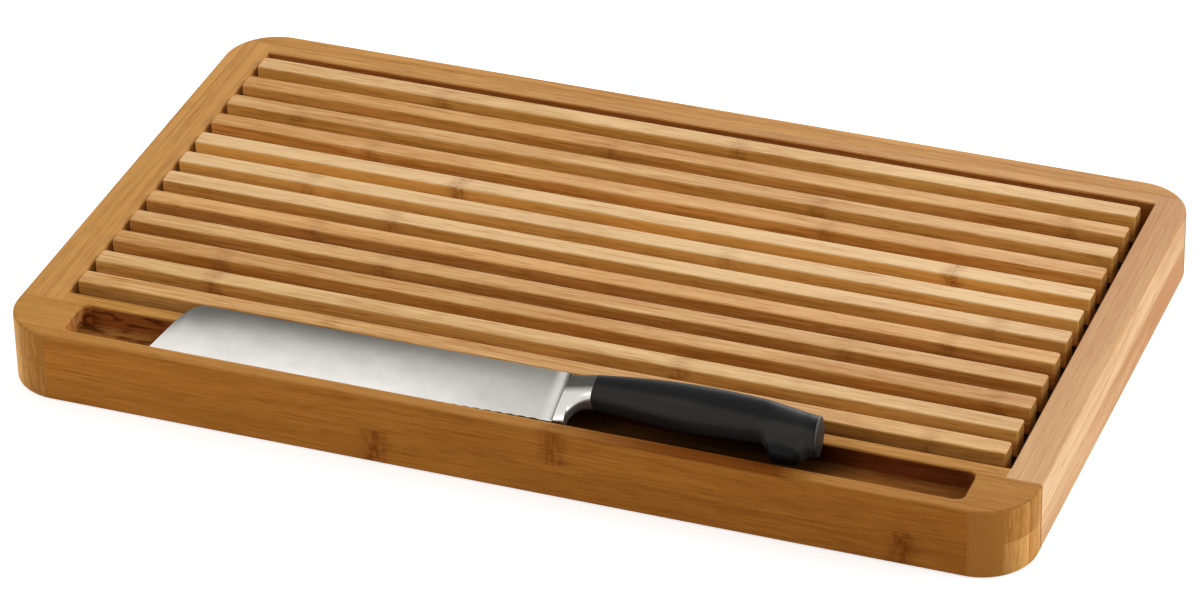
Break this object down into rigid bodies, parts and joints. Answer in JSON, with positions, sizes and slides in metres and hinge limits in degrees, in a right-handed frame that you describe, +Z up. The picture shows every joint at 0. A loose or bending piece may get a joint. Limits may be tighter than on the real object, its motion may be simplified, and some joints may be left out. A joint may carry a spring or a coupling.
{
  "type": "bread board",
  "caption": "Shallow bamboo tray with a lift-out slatted grid over a crumb well, and a bread knife lying in a recess along its front.",
  "frame": {"origin": "on the resting surface, under the middle of the tray's plan", "axes": "+X along the tray's length towards the knife's butt, +Y from the knife recess towards the back, +Z up"},
  "size_m": [0.45, 0.2666, 0.0476],
  "materials": {
    "bamboo_rail": "laminated bamboo, oiled satin",
    "bamboo_slat": "laminated bamboo, pale, oiled satin",
    "bamboo_floor": "laminated bamboo panel, oiled",
    "beech": "bare turned beech",
    "blade_steel": "satin ground stainless steel",
    "bolster_steel": "polished stainless steel",
    "grip_polymer": "black moulded polymer, satin"
  },
  "bodies": {
    "tray": {"front_rail": "bamboo_rail", "back_rail": "bamboo_rail", "left_rail": "bamboo_rail", "right_rail": "bamboo_rail", "recess_divider": "bamboo_rail", "back_liner": "bamboo_rail", "crumb_floor": "bamboo_floor", "dowel_left_lower": "beech", "dowel_left_upper": "beech", "dowel_right_lower": "beech", "dowel_right_upper": "beech"},
    "grid": {"slat_01": "bamboo_slat", "slat_02": "bamboo_slat", "slat_03": "bamboo_slat", "slat_04": "bamboo_slat", "slat_05": "bamboo_slat", "slat_06": "bamboo_slat", "slat_07": "bamboo_slat", "slat_08": "bamboo_slat", "slat_09": "bamboo_slat", "slat_10": "bamboo_slat", "slat_11": "bamboo_slat", "slat_12": "bamboo_slat", "batten_1": "bamboo_slat", "batten_2": "bamboo_slat", "batten_3": "bamboo_slat"},
    "knife": {"knife_blade": "blade_steel", "knife_bolster": "bolster_steel", "knife_grip": "grip_polymer", "knife_butt_cap": "blade_steel"}
  },
  "joints": [
    {"name": "grid_lift", "type": "slide", "parent": "tray", "child": "grid", "axis": [0, 0, 1], "range_m": [0, 0.04]},
    {"name": "knife_lift", "type": "slide", "parent": "tray", "child": "knife", "axis": [0, 0, 1], "range_m": [0, 0.04]}
  ]
}
